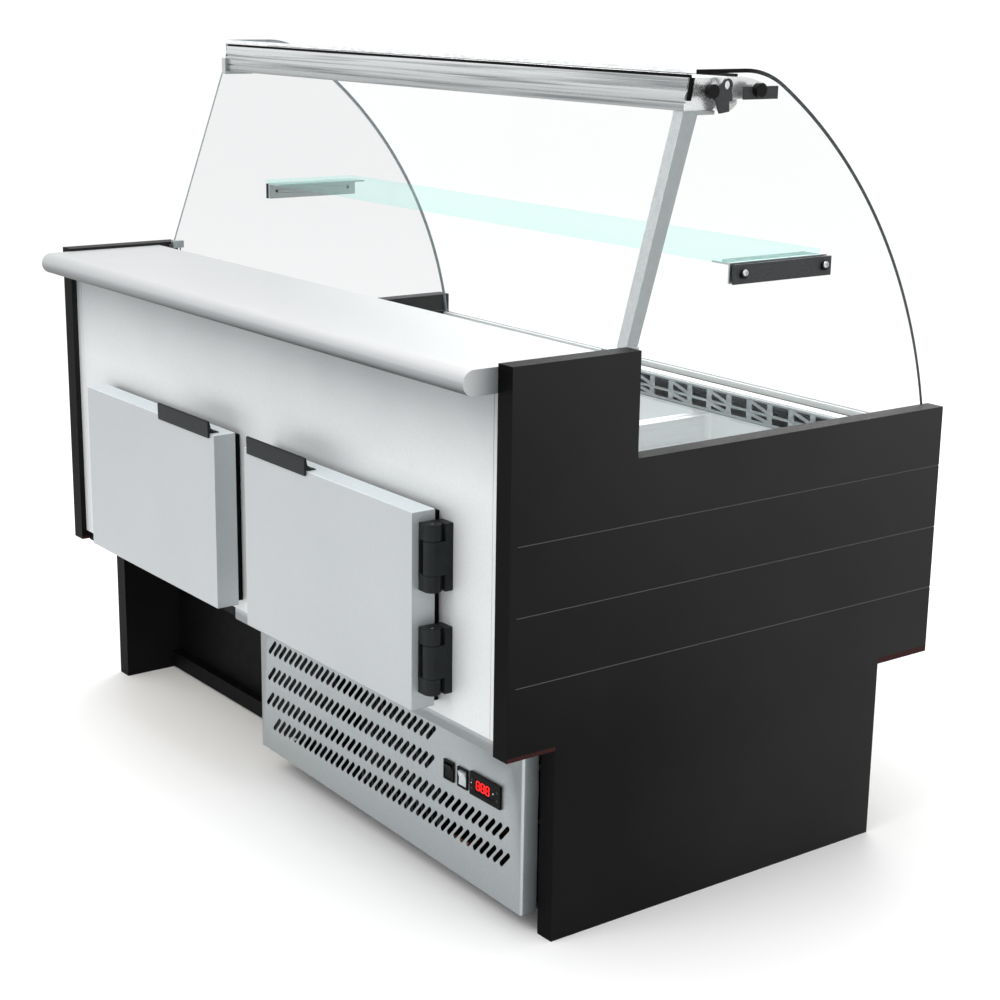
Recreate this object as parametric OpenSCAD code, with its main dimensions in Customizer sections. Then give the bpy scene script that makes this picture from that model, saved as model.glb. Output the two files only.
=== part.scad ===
// Refrigerated deli case: a serve-over counter with a stainless worktop and two
// storage doors on the service side, a curved glass front on the customer side,
// and a condensing unit behind a louvred cover.
// X runs along the counter, -Y is the service side, +Z is up. The origin is on the
// floor under the middle of the case. Depths are measured from the service edge of
// the end panels and place() shifts them to the origin.

/* [Case] */
// Overall length over the end panels
case_length = 1464; // [1460:2:1480]
// Depth of an end panel
panel_depth = 904; // [900:1:920]
// Height of an end panel beside the worktop
panel_height = 900; // [898:1:910]
// Height of an end panel beside the display well
panel_low_height = 739; // [730:1:745]
// Thickness of an end panel
panel_t = 34; // [30:1:36]
// Height of the underside of the insulated tank
tank_bottom = 310; // [300:1:310]
// Depth of the step from the plinth to the service edge
plinth_back = 90; // [80:1:92]
// Depth of the plinth's customer face
plinth_front = 785; // [780:1:790]

/* [Worktop] */
// Height of the worktop surface
worktop_z = 895; // [893:1:897]
// Thickness of the worktop
worktop_t = 38; // [36:1:38]
// How far the worktop stands out over the service side
worktop_nose = 60; // [50:1:70]
// Depth of the worktop's rear edge
worktop_rear = 192; // [186:1:192]

/* [Doors] */
// Distance from the middle of the case to a door's meeting edge
door_inner = 52; // [50:1:54]
// Distance from the middle of the case to a door's hinged edge
door_outer = 550; // [546:1:552]
// Height of a door's bottom edge
door_z0 = 346; // [342:1:350]
// Height of a door's top edge
door_z1 = 658; // [650:1:660]
// Thickness of a door
door_t = 42; // [38:1:44]
// Radius of a hinge pin
hinge_pin_r = 4; // [3:0.5:5]

/* [Glass and canopy] */
// Thickness of the front and side glass
glass_t = 6; // [5:0.5:6]
// Height of the top of the front glass
glass_top = 1295; // [1290:1:1300]
// Radius of the tight bend beside the canopy
bend_r = 150; // [140:1:160]
// Angle that the tight bend turns through
bend_angle = 33; // [31:1:34]
// Radius of the long sweep of the front glass
sweep_r = 830; // [826:1:832]
// Height of the shelf's upper surface
shelf_z = 1015; // [1000:1:1030]

/* [Machine cover] */
// Left end of the louvred cover
cover_x0 = -94; // [-110:1:-90]
// Depth of the cover's face
cover_face = 65; // [62:1:70]
// Sheet thickness of the cover
cover_t = 1.5; // [1.2:0.1:2]
// Right end of the louvred cover
cover_x1 = 688; // [684:1:696]
// Height of the cover's lower edge at its left end
cover_low = 54; // [40:1:56]
// Width of a louvre slot
slot_w = 8.8; // [7:0.2:9]

/* [Hidden] */
$fn = 48;
fit = 0.05;      // radial running clearance of pins and shafts
gap = 0.5;       // free gap between pieces that move apart
sheet = 1.5;     // stainless sheet of the liner and pans
mid = (panel_depth - worktop_nose) / 2;
half = case_length / 2;
inside = half - panel_t;

// Insulated tank
wall_y0 = 10;
wall_y1 = 52;
wall_z0 = tank_bottom + 20;
tank_front_y0 = 826;
tank_front_y1 = 866;
tank_floor_z = tank_bottom + 42;
tank_side_x = 660;
tank_top = 680;
door_opening_inset = 20;

// Display deck
deck_z = 680;
deck_y0 = 203;
deck_y1 = 731;
pan_pitch = 349;
pan_gap = 3;
pan_depth = 45;
pan_edge_x = 686;

// Door hinges
hinge_x = door_outer + 16;
hinge_y = -18;
hinge_zs = [374, 536];
hinge_h = 105;
knuckle_h = 26;
knuckle_r = 14;

// Front glass: centre of each arc of its outer face
bend_y = 450;
bend_z = glass_top - bend_r;
sweep_y = bend_y + (bend_r - sweep_r) * sin(bend_angle);
sweep_z = bend_z + (bend_r - sweep_r) * cos(bend_angle);
glass_foot_z = 690;
tilt_y = 888;
tilt_z = 668;
tilt_pin_r = 4;

// Side glass and posts
side_x0 = 690;
side_glass_gap = 1;
canopy_top = glass_top - glass_t - 6;
post_w = 22;
post_x0 = 689 - post_w;
post_foot = [241, 263];
post_head = [335, 364];
post_top = 1229;
clamp_points = [[376, 1264], [472, 1264]];
shelf_bolt_points = [[459, 990], [632, 990]];

// Machine compartment
tray_z = 38;
cover_back = 95;
controller_x = [557, 636];
controller_z = [189, 227];
key_points = [[564, 215], [564, 201], [629, 215], [629, 201]];
key_r = 2.4;
switch_xs = [484, 521.5];
switch_w = 28;
switch_z = [190, 223];
rocker_y = 68;
rocker_z = (switch_z[0] + switch_z[1]) / 2;
rocker_tilt = 7;          // rest position: pressed at the lower half
rocker_pin_r = 1.5;
fan_x = 310;
fan_z = 168;
evap_fan_z = 500;
drain = [-300, 680];      // axis of the condensate drain
drain_r = 16;
pipe_xs = [590, 630];     // liquid and suction lines through the tank floor

module place() { translate([0, -mid, 0]) children(); }

// A block between three pairs of limits
module block(x, y, z) {
    translate([x[0], y[0], z[0]]) cube([x[1] - x[0], y[1] - y[0], z[1] - z[0]]);
}

// Extrudes a (depth, height) outline along the counter
module along_x(x0, x1) {
    translate([x0, 0, 0]) rotate([90, 0, 90]) linear_extrude(x1 - x0) children();
}

// Extrudes a (length, height) outline in depth
module along_y(y0, y1) {
    translate([0, y1, 0]) rotate([90, 0, 0]) linear_extrude(y1 - y0) children();
}

// Round rods along each axis
module rod_x(x0, x1, y, z, r) {
    translate([x0, y, z]) rotate([0, 90, 0]) cylinder(r = r, h = x1 - x0);
}
module rod_y(x, y0, y1, z, r) {
    translate([x, y1, z]) rotate([90, 0, 0]) cylinder(r = r, h = y1 - y0);
}
module rod_z(x, y, z0, z1, r) { translate([x, y, z0]) cylinder(r = r, h = z1 - z0); }

// Draws its children on the right and mirrored on the left
module both_ends() {
    children();
    mirror([1, 0, 0]) children();
}

// A rectangle with round corners
module round_rect(w, h, r) {
    translate([r, 0]) square([w - 2 * r, h]);
    translate([0, r]) square([w, h - 2 * r]);
    for (x = [r, w - r], y = [r, h - r]) translate([x, y]) circle(r);
}

// ---------------------------------------------------------------- cabinet
module end_panel() {
    groove_w = 2;
    groove_d = 1.2;
    difference() {
        along_x(inside, half) polygon([
            [0, panel_height], [0, tank_bottom + 2], [plinth_back, tank_bottom + 2],
            [plinth_back, 0], [plinth_front, 0], [plinth_front, tank_bottom - 2],
            [panel_depth, tank_bottom - 2], [panel_depth, panel_low_height],
            [234, panel_low_height], [234, panel_height]]);
        for (z = [423, 530, 637])
            block([half - groove_d, half + 1], [14, panel_depth + 1], [z, z + groove_w]);
    }
}
module end_panel_right() { color("#1f1f1f") place() end_panel(); }
module end_panel_left() { color("#1f1f1f") place() mirror([1, 0, 0]) end_panel(); }

module front_fascia() {
    color("#1f1f1f") place() difference() {
        block([-inside, inside], [880, 898], [308, 640]);
        for (z = [423, 530]) block([-half, half], [896.8, 899], [z, z + 2]);
    }
}
module front_kick() {
    color("#1f1f1f") place() difference() {
        block([-inside, inside], [767, plinth_front], [4, 308]);
        rod_y(500, 760, 790, 80, 10);
    }
}

// Black sheet that closes the open recess: a back, a foot rail, the partition and a
// rail under the service wall
module recess_lining() {
    color("#151515") place() {
        block([-inside, inside], [wall_y0 + 6, wall_y1], [tank_bottom, wall_z0]);
        block([-inside, cover_x0], [213, 216], [4, 268]);
        block([-inside, cover_x0], [193, 213], [4, 36]);
        block([cover_x0 - 3, cover_x0], [216, 767], [4, 268]);
    }
}
module base_frame() {
    tube_h = 40;
    tube_w = 40;
    wall = 2;
    color("#8b8f92") place() for (y = [222, 720]) difference() {
        block([-inside, inside], [y, y + tube_w], [tank_bottom - tube_h, tank_bottom]);
        block([-half, half], [y + wall, y + tube_w - wall],
              [tank_bottom - tube_h + wall, tank_bottom - wall]);
        pipe_hole(tank_bottom - tube_h - 1, tank_bottom + 1);
    }
}
module base_tray() {
    lip = 8;
    x0 = cover_x0 + cover_t;
    color("#2a2c2d") place() difference() {
        block([x0, inside], [cover_back + 1, 767], [tray_z - 2, tray_z + lip]);
        block([x0 + 2, inside - 2], [cover_back + 3, 765], [tray_z, tray_z + lip + 1]);
    }
}

// Service side of the tank with the two door openings
module door_openings(y0, y1) {
    both_ends() block([door_inner + door_opening_inset, door_outer - door_opening_inset],
                      [y0, y1], [door_z0 + door_opening_inset, door_z1 - door_opening_inset]);
}
module service_wall() {
    fold_x = 676;
    color("#c9cdd0") place() difference() {
        block([-inside, inside], [wall_y0, wall_y1], [wall_z0, worktop_z - worktop_t]);
        door_openings(wall_y0 - 1, wall_y1 + 1);
        both_ends() block([fold_x, fold_x + 1.6], [wall_y0 - 1, wall_y0 + 1.2], [0, 900]);
    }
}
module tank_insulation() {
    color("#e8dfc0") place() difference() {
        union() {
            block([-inside, inside], [wall_y1, tank_front_y1], [tank_bottom, tank_floor_z]);
            block([-inside, inside], [tank_front_y0, tank_front_y1], [tank_floor_z, tank_top]);
            both_ends() block([tank_side_x, inside], [wall_y1, tank_front_y0],
                              [tank_floor_z, 676]);
        }
        drain_hole(tank_bottom - 1, tank_floor_z + 1);
        pipe_hole(tank_bottom - 1, tank_floor_z + 1);
    }
}
module drain_hole(z0, z1) { rod_z(drain[0], drain[1], z0, z1, drain_r); }
module pipe_hole(z0, z1) { for (x = pipe_xs) rod_z(x, 740, z0, z1, 9); }

// Stainless inner skin, open at the top, with a boxed ledge along the customer side
module tank_liner() {
    x = tank_side_x;
    color("#d5d9db") place() difference() {
        union() {
            block([-x, x], [wall_y1, tank_front_y0], [tank_floor_z, tank_top]);
            block([-inside + 1, inside - 1], [846, 872], [tank_top, 693]);
            block([-inside + 1, inside - 1], [tank_front_y0 - sheet, 872],
                  [tank_top, tank_top + sheet]);
        }
        block([-x + sheet, x - sheet], [wall_y1 + sheet, tank_front_y0 - sheet],
              [tank_floor_z + sheet, tank_top - 2 * sheet - 1]);
        block([-x - 1, x + 1], [193, tank_front_y0 - sheet], [676, tank_top + 2]);
        block([-x + sheet, x - sheet], [193, tank_front_y0 - sheet], [600, tank_top + 2]);
        door_openings(wall_y1 - 1, wall_y1 + 5);
        drain_hole(tank_floor_z - 1, tank_floor_z + 5);
        pipe_hole(tank_floor_z - 1, tank_floor_z + 5);
    }
}

// Air duct below the worktop; its customer face blows air over the display
module rear_duct() {
    slot_count = 60;
    pitch = 21;
    color("#d5d9db") place() difference() {
        block([-tank_side_x, tank_side_x], [wall_y1, worktop_rear],
              [tank_top, worktop_z - worktop_t]);
        block([-tank_side_x + 2, tank_side_x - 2], [wall_y1 + 2, worktop_rear - 2],
              [tank_top + 2, worktop_z - worktop_t - 2]);
        for (i = [0 : slot_count - 1])
            block([(i - slot_count / 2) * pitch + 3, (i - slot_count / 2) * pitch + 18],
                  [worktop_rear - 3, worktop_rear + 1], [800, 838]);
    }
}
module worktop() {
    r = worktop_t / 2;
    color("#dfe2e4") place() along_x(-inside + 0.5, inside - 0.5) {
        translate([-worktop_nose + r, worktop_z - worktop_t])
            square([worktop_rear + worktop_nose - r, worktop_t]);
        translate([-worktop_nose + r, worktop_z - r]) circle(r);
    }
}

// ---------------------------------------------------------------- display deck
module deck_frame() {
    top = deck_z - 2;
    bar_h = 10;
    rail_x = tank_side_x - sheet;
    color("#c2c6c9") place() {
        block([-rail_x, rail_x], [194, 213], [top - bar_h, top]);
        block([-rail_x, rail_x], [721, 737], [top - bar_h, top]);
        for (i = [-1 : 1])
            block([i * pan_pitch - 8, i * pan_pitch + 8], [213, 721], [top - bar_h, top]);
    }
}

// A lift-out pan; limits of its flange and of its tub along the counter
module deck_pan(x, tub) {
    flange_t = 1.6;
    tub_y = [deck_y0 + 14, deck_y1 - 14];
    color("#d9dcde") place() difference() {
        union() {
            block(x, [deck_y0, deck_y1], [deck_z - flange_t, deck_z]);
            translate([tub[0], tub_y[0], deck_z - pan_depth])
                linear_extrude(pan_depth - 1) round_rect(tub[1] - tub[0], tub_y[1] - tub_y[0], 14);
        }
        translate([tub[0] + sheet, tub_y[0] + sheet, deck_z - pan_depth + sheet])
            linear_extrude(pan_depth)
                round_rect(tub[1] - tub[0] - 2 * sheet, tub_y[1] - tub_y[0] - 2 * sheet, 12.5);
    }
}
module inner_pan() { deck_pan([pan_gap / 2, pan_pitch - pan_gap / 2], [14, pan_pitch - 14]); }
module outer_pan() { deck_pan([pan_pitch + pan_gap / 2, pan_edge_x], [pan_pitch + 14, pan_edge_x - 30]); }
module deck_pan_1() { mirror([1, 0, 0]) outer_pan(); }
module deck_pan_2() { mirror([1, 0, 0]) inner_pan(); }
module deck_pan_3() { inner_pan(); }
module deck_pan_4() { outer_pan(); }

// Return-air grille: an upright face with two rows of windows, every second one with a
// diagonal stay, and a closed top that falls away to the ledge
module air_grille() {
    x = 684;
    thick = 2.5;
    face_h = 44.8;
    depth = 112.4;
    back_h = 11.4;
    pitch = 51;
    win = 39;
    stay = 5;
    color("#b9bfc2") place() translate([0, 732.6, 678.2]) {
        translate([0, thick, 0]) rotate([90, 0, 0]) linear_extrude(thick) difference() {
            translate([-x, 0]) square([2 * x, face_h]);
            for (i = [-14 : 11], z = [[7, 19], [23.5, 41]]) translate([i * pitch + 45, 0])
                difference() {
                    translate([0, z[0]]) square([win, z[1] - z[0]]);
                    if (i % 2 == 0) polygon([[-1, z[1] + 1], [-1, z[1] - stay],
                        [win + 1, z[0] - 1], [win + 1, z[0] + stay]]);
                }
        }
        along_x(-x, x) polygon([[0, face_h - thick], [0, face_h], [depth, back_h + thick],
            [depth, back_h]]);
    }
}

// ---------------------------------------------------------------- doors
module door() {
    back = 8;
    color("#cdd1d4") place() difference() {
        block([door_inner, door_outer], [-2 - door_t, -2], [door_z0, door_z1]);
        block([door_inner + 40, door_outer - 40], [-2 - back, 0], [door_z0 + 40, door_z1 - 40]);
    }
}
module door_gasket() {
    color("#111111") place() difference() {
        block([door_inner + 6, door_outer - 6], [-2, wall_y0 - 0.4], [door_z0 + 6, door_z1 - 6]);
        block([door_inner + 24, door_outer - 24], [-3, wall_y0], [door_z0 + 24, door_z1 - 24]);
    }
}

// Moulded pull: an upright grip with a flange on the door's top edge
module door_handle() {
    front = -2 - door_t;
    color("#2b2e30") place() along_x(66, 252) translate([front, door_z1]) polygon([
        [-3.5, -8], [0, -8], [0, 0], [19, 0], [18, 1.8], [8, 3.5], [3, 9], [0.5, 21],
        [-1.5, 22.5], [-4, 20]]);
}

// Door half of both hinges: a leaf on the door's edge and two knuckles
module hinge_leaves() {
    hinge_side = [hinge_y - knuckle_r, hinge_y + knuckle_r];
    color("#24272a") place() for (z = hinge_zs) difference() {
        union() {
            block([door_outer, door_outer + 1.4], hinge_side, [z, z + hinge_h]);
            for (k = [z, z + hinge_h - knuckle_h]) {
                rod_z(hinge_x, hinge_y, k, k + knuckle_h, knuckle_r);
                block([door_outer + 1, hinge_x], hinge_side, [k, k + knuckle_h]);
            }
        }
        rod_z(hinge_x, hinge_y, z - 1, z + hinge_h + 1, hinge_pin_r + fit);
    }
}

// Wall half of the four hinges: a plate on the wall and the middle knuckle
module hinge_bracket(z) {
    z0 = z + knuckle_h + gap;
    z1 = z + hinge_h - knuckle_h - gap;
    difference() {
        union() {
            rod_z(hinge_x, hinge_y, z0, z1, knuckle_r);
            block([hinge_x, hinge_x + knuckle_r], [hinge_y, wall_y0], [z0, z1]);
            block([door_outer + 1.5, hinge_x + knuckle_r], [hinge_y + knuckle_r + gap, wall_y0],
                  [z, z + hinge_h]);
        }
        rod_z(hinge_x, hinge_y, z, z + hinge_h, hinge_pin_r);
    }
}
module hinge_brackets() {
    color("#24272a") place() both_ends() for (z = hinge_zs) hinge_bracket(z);
}
module hinge_pins() {
    color("#b8bcc0") place() both_ends() for (z = hinge_zs)
        rod_z(hinge_x, hinge_y, z + 1, z + hinge_h - 1, hinge_pin_r);
}
module door_right() { door(); }
module door_left() { mirror([1, 0, 0]) door(); }
module door_gasket_right() { door_gasket(); }
module door_gasket_left() { mirror([1, 0, 0]) door_gasket(); }
module door_handle_right() { door_handle(); }
module door_handle_left() { mirror([1, 0, 0]) door_handle(); }
module hinge_leaves_right() { hinge_leaves(); }
module hinge_leaves_left() { mirror([1, 0, 0]) hinge_leaves(); }

// ---------------------------------------------------------------- machine cover and controls
// A leaning slot with round ends, from the centre of its lower left end
module louvre(lean, rise) {
    along = atan2(rise, lean);
    polygon(concat(
        [for (a = [-90 : 45 : 90]) [lean, rise] + slot_w / 2 * [cos(along + a), sin(along + a)]],
        [for (a = [90 : 45 : 270]) slot_w / 2 * [cos(along + a), sin(along + a)]]));
}

// One row of slots: first slot's foot, number of slots, pitch, lean and rise
module louvre_row(x, z, count, pitch, lean, rise) {
    for (i = [0 : count - 1]) translate([x + i * pitch, z]) louvre(lean, rise);
}
module cover_cuts() {
    louvre_row(-63.5, 242, 29, 17.8, 20.5, 22);
    louvre_row(-67, 191.5, 29, 17.8, 20.5, 22);
    louvre_row(-72.5, 142.5, 40, 18.1, 19, 21);
    louvre_row(-50.5, 99, 40, 17.6, 19, 21);
    translate([controller_x[0] + 4, controller_z[0] + 4.5]) square([71, 29]);
    for (x = switch_xs) translate([x + 2.5, switch_z[0] + 2.5]) square([23, 28]);
}
// Outline of the cover seen from above, shrunk by d, from its face back to y
module cover_plan(d, y) {
    r = 4;
    centre = [cover_x1 - r, cover_face + r];
    polygon(concat(
        [[cover_x0 + d, y], [cover_x0 + d, cover_face + d]],
        [for (a = [-90 : 15 : 0]) centre + (r - d) * [cos(a), sin(a)]],
        [[cover_x1 - d, y]]));
}
// The cover hangs a little out of level, open below and behind; its top flange reaches
// back under the service wall
module machine_cover() {
    top = tank_bottom - 2;
    low = 32;
    color("#b4babe") place() {
        difference() {
            translate([0, 0, low]) linear_extrude(top - low) cover_plan(0, cover_back);
            translate([0, 0, low - 1]) linear_extrude(top - low + 1 - cover_t)
                cover_plan(cover_t, cover_back + 1);
            along_y(cover_face - 1, cover_back + 1) polygon([
                [cover_x0 - 1, low - 1], [cover_x1, low - 1], [cover_x1, low],
                [cover_x0 - 1, cover_low]]);
            block([cover_x0 + 18, cover_x1 - 18], [cover_face + 18, 200], [top - 3, top + 1]);
            along_y(cover_face - 1, cover_face + 3) cover_cuts();
        }
        block([cover_x0, cover_x0 + cover_t], [cover_back - 1, 213], [cover_low, top]);
        block([cover_x0, cover_x0 + cover_t], [212, 230], [cover_low, 266]);
        block([cover_x0, cover_x1], [wall_y0 + 4, cover_face + cover_t], [top - cover_t, top]);
        block([cover_x0, cover_x1], [wall_y0 + 4, wall_y0 + 4 + cover_t], [top - cover_t, wall_z0]);
    }
}
module controller() {
    color("#161616") place() difference() {
        union() {
            block(controller_x, [cover_face - 4, cover_face], controller_z);
            block([controller_x[0] + 4.2, controller_x[1] - 4.2], [cover_face, 125],
                  [controller_z[0] + 4.7, controller_z[1] - 4.7]);
        }
        block([572, 621], [cover_face - 5, cover_face - 3], [197, 219]);
        for (p = key_points) rod_y(p[0], cover_face - 5, cover_face - 1, p[1], key_r + 0.4);
    }
}
module key(i) {
    color("#d8d8d8") place()
        rod_y(key_points[i][0], cover_face - 4.4, cover_face - 2, key_points[i][1], key_r);
}
module controller_key_1() { key(0); }
module controller_key_2() { key(1); }
module controller_key_3() { key(2); }
module controller_key_4() { key(3); }

module switch_frames() {
    color("#161616") place() for (x = switch_xs) difference() {
        union() {
            block([x, x + switch_w], [cover_face - 3, cover_face], switch_z);
            block([x + 2.7, x + switch_w - 2.7], [cover_face, 92],
                  [switch_z[0] + 2.7, switch_z[1] - 2.7]);
        }
        block([x + 4, x + switch_w - 4], [cover_face - 4, 84], [switch_z[0] + 3.5, switch_z[1] - 3.5]);
        rod_x(x, x + switch_w, rocker_y, rocker_z, rocker_pin_r + fit);
    }
}
// Rocker with a shallow V face, shown pressed at its lower half
module rocker(x) {
    place() translate([0, rocker_y, rocker_z]) rotate([rocker_tilt, 0, 0]) {
        along_x(x + 4.6, x + switch_w - 4.6)
            polygon([[-7, 11.5], [-5, 0], [-7, -11.5], [2, -11.5], [9, -4], [9, 4], [2, 11.5]]);
        rod_x(x + 3, x + switch_w - 3, 0, 0, rocker_pin_r);
    }
}
module switch_rocker_1() { color("#2a2c2e") rocker(switch_xs[0]); }
module switch_rocker_2() { color("#cfd2d4") rocker(switch_xs[1]); }

// ---------------------------------------------------------------- condensing unit
module compressor() {
    cx = 590;
    cy = 340;
    color("#1a1a1a") place() difference() {
        union() {
            translate([cx, cy, 60]) rotate_extrude() {
                square([78, 120]);
                translate([0, 120]) intersection() {
                    translate([0, -88]) circle(118);
                    square([78, 60]);
                }
            }
            block([cx - 95, cx + 95], [cy - 70, cy + 70], [52, 60]);
            for (dx = [-80, 80], dy = [-55, 55]) rod_z(cx + dx, cy + dy, tray_z, 52, 12);
            block([cx - 30, cx + 30], [cy - 105, cy - 70], [95, 160]);
        }
        for (dx = [-80, 80], dy = [-55, 55]) rod_z(cx + dx, cy + dy, tray_z - 1, 61, 4);
    }
}

// Finned block with its tube bends standing out at both ends
module condenser() {
    x = [190, 430];
    fins = 16;
    color("#8f979c") place() difference() {
        union() {
            block(x, [98, 150], [tray_z, 290]);
            for (z = [62 : 50 : 262]) {
                rod_x(x[0] - 12, x[1] + 12, 112, z, 4);
                rod_x(x[0] - 12, x[1] + 12, 136, z, 4);
                for (e = [x[0] - 12, x[1] + 8]) block([e, e + 4], [112, 136], [z - 4, z + 4]);
            }
        }
        for (i = [1 : fins - 1])
            block([x[0] + i * 15 - 5, x[0] + i * 15 + 1], [97, 104], [tray_z + 8, 282]);
    }
}
module condenser_shroud() {
    color("#70767a") place() difference() {
        union() {
            block([190, 430], [150, 152], [50, 280]);
            rod_y(fan_x, 150, 182, fan_z, 104);
        }
        rod_y(fan_x, 149, 183, fan_z, 101);
    }
}
module condenser_fan_motor() {
    color("#2c2f31") place() difference() {
        union() {
            rod_y(fan_x, 196, 250, fan_z, 34);
            for (a = [45 : 90 : 315]) translate([fan_x, 0, fan_z]) rotate([0, a, 0]) {
                block([30, 108], [196, 200], [-6, 6]);
                block([104.5, 108], [152, 200], [-6, 6]);
            }
        }
        rod_y(fan_x, 190, 230, fan_z, 4 + fit);
    }
}

// Hub, shaft and pitched blades about an axis in depth
module fan(cx, cz, y, r, blades, shaft) {
    pitch_angle = 28;
    translate([cx, y, cz]) {
        rod_y(0, -12, 12, 0, 26);
        rod_y(0, 0, shaft, 0, 4);
        for (i = [0 : blades - 1]) rotate([0, i * 360 / blades, 0])
            translate([22, 0, 0]) rotate([pitch_angle, 0, 0])
                block([0, r - 22], [-1.2, 1.2], [-19, 19]);
    }
}
module condenser_fan() { color("#3a3d40") place() fan(fan_x, fan_z, 170, 93, 5, 46); }

// Copper lines with brazed corners, liquid receiver and filter drier
module pipe(points, r) {
    for (i = [0 : len(points) - 2]) {
        run = points[i + 1] - points[i];
        turn = run[0] != 0 ? [0, 90, 0] : run[1] != 0 ? [-90, 0, 0] : [0, 0, 0];
        start = run[0] + run[1] + run[2] > 0 ? points[i] : points[i + 1];
        translate(start) rotate(turn) cylinder(r = r, h = norm(run));
        if (i > 0) translate(points[i]) sphere(r * 1.25);
    }
}
module pipework() {
    color("#b87333") place() {
        pipe([[442, 112, 62], [485, 112, 62], [485, 340, 62], [485, 340, 110], [512, 340, 110]], 5);
        pipe([[485, 240, 62], [450, 240, 62]], 5);
        rod_x(330, 450, 240, 62, 16);
        pipe([[330, 240, 62], [300, 240, 62], [300, 600, 62], [300, 600, 100], [400, 600, 100]], 5);
        rod_x(400, 520, 600, 100, 18);
        pipe([[520, 600, 100], [pipe_xs[0], 600, 100], [pipe_xs[0], 740, 100],
              [pipe_xs[0], 740, 430], [492, 740, 430]], 5);
        pipe([[590, 418, 130], [590, 560, 130], [pipe_xs[1], 560, 130], [pipe_xs[1], 740, 130],
              [pipe_xs[1], 740, 500], [492, 740, 500]], 7);
    }
}

// ---------------------------------------------------------------- cold compartment
module evaporator() {
    x = [-480, 480];
    fins = 32;
    color("#b5babd") place() difference() {
        union() {
            block(x, [700, 790], [400, 600]);
            for (z = [430, 500, 570]) for (e = [x[0] - 12, x[1] + 8])
                block([e, e + 4], [715, 775], [z - 5, z + 5]);
            for (z = [430, 500, 570], y = [715, 770]) rod_x(x[0] - 12, x[1] + 12, y, z, 5);
        }
        for (i = [1 : fins - 1])
            block([x[0] + i * 30 - 10, x[0] + i * 30 + 2], [699, 706], [408, 592]);
    }
}
module evaporator_fan_plate() {
    color("#cfd3d6") place() difference() {
        union() {
            block([-657, 657], [648, 650], [365, deck_z - pan_depth - 2]);
            rod_y(0, 672, 690, evap_fan_z, 30);
            for (a = [45 : 90 : 315]) translate([0, 0, evap_fan_z]) rotate([0, a, 0]) {
                block([26, 108], [684, 688], [-5, 5]);
                block([104, 108], [649, 688], [-5, 5]);
            }
        }
        rod_y(0, 647, 651, evap_fan_z, 100);
        rod_y(0, 670, 685, evap_fan_z, 4 + fit);
    }
}
module evaporator_fan() { color("#3a3d40") place() fan(0, evap_fan_z, 656, 94, 5, 24); }

// Condensate tray under the evaporator with its drain spout
module drip_tray() {
    color("#c8ccce") place() difference() {
        union() {
            block([-500, 500], [655, 810], [372, 392]);
            rod_z(drain[0], drain[1], tank_bottom - 40, tank_bottom - 0.2, drain_r);
            rod_z(drain[0], drain[1], tank_bottom - 1, 373, drain_r - 0.5);
        }
        block([-497, 497], [658, 807], [375, 393]);
        rod_z(drain[0], drain[1], tank_bottom - 41, 380, 13);
    }
}

// Wire-grid shelf of the storage compartment on two side rails
module storage_rack() {
    color("#c4c8ca") place() {
        for (i = [0 : 7]) block([-641, 641], [72 + i * 78, 77 + i * 78], [466, 470]);
        for (i = [-15 : 15]) block([i * 40 - 2, i * 40 + 2], [72, 623], [470, 474]);
        both_ends() block([640, tank_side_x - sheet], [72, 623], [466, 474]);
    }
}

// ---------------------------------------------------------------- glass structure
// Points of the front glass profile from the canopy to its foot, moved inwards by d
function arc(y, z, r, a0, a1, steps) =
    [for (i = [0 : steps]) let (a = a0 + (a1 - a0) * i / steps) [y + r * sin(a), z + r * cos(a)]];
function foot_angle(d, foot) = acos((foot - sweep_z) / (sweep_r - d));
function glass_curve(d, foot) = concat(
    arc(bend_y, bend_z, bend_r - d, 0, bend_angle, 11),
    [for (i = [1 : 24]) arc(sweep_y, sweep_z, sweep_r - d, bend_angle, foot_angle(d, foot), 24)[i]]);
function reversed(list) = [for (i = [len(list) - 1 : -1 : 0]) list[i]];

module front_glass() {
    color("#cfe6ea", 0.35) place() along_x(-inside + 2, inside - 2) polygon(concat(
        [[352, glass_top]], glass_curve(0, glass_foot_z),
        reversed(glass_curve(glass_t, glass_foot_z)), [[352, glass_top - glass_t]]));
}
module side_glass() {
    d = glass_t + side_glass_gap;
    foot = 704;
    color("#cfe6ea", 0.35) place() both_ends() difference() {
        along_x(side_x0, side_x0 + glass_t) polygon(concat(
            [[236, foot], [236, worktop_z + 4], [222, worktop_z + 4], [352, 1262],
             [352, glass_top - d]], glass_curve(d, foot)));
        for (p = concat(clamp_points, shelf_bolt_points))
            rod_x(side_x0 - 1, side_x0 + glass_t + 1, p[0], p[1], 5);
    }
}

// Ribbed canopy extrusion; the lamp hangs in its front half
module canopy_profile() {
    top = canopy_top;
    end = 684;
    color("#c3c9cc") place() difference() {
        along_x(-end, end) polygon([
            [347, top], [345, 1262], [341, 1256], [341, 1235], [398, 1235], [412, 1250],
            [517, 1250], [517, 1264], [500, 1273], [470, 1281], [452, top]]);
        along_x(2 - end, end - 2) polygon([
            [352, top - 4], [350, 1258], [347, 1252], [347, 1240], [394, 1240], [409, 1255],
            [510, 1255], [510, 1261], [496, 1268], [466, 1273], [450, top - 4]]);
        block([-700, 700], [338, 347.5], [1276, 1277.5]);
        block([-700, 700], [338, 348], [1263.8, 1266]);
        block([-700, 700], [338, 344.5], [1246.6, 1248.6]);
    }
}
module canopy_lamp() {
    color("#f4f4ee") place() along_x(-640, 640) {
        translate([438, 1240]) square([50, 10]);
        intersection() {
            translate([463, 1260]) circle(32);
            translate([438, 1225]) square([50, 16]);
        }
    }
}

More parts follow.
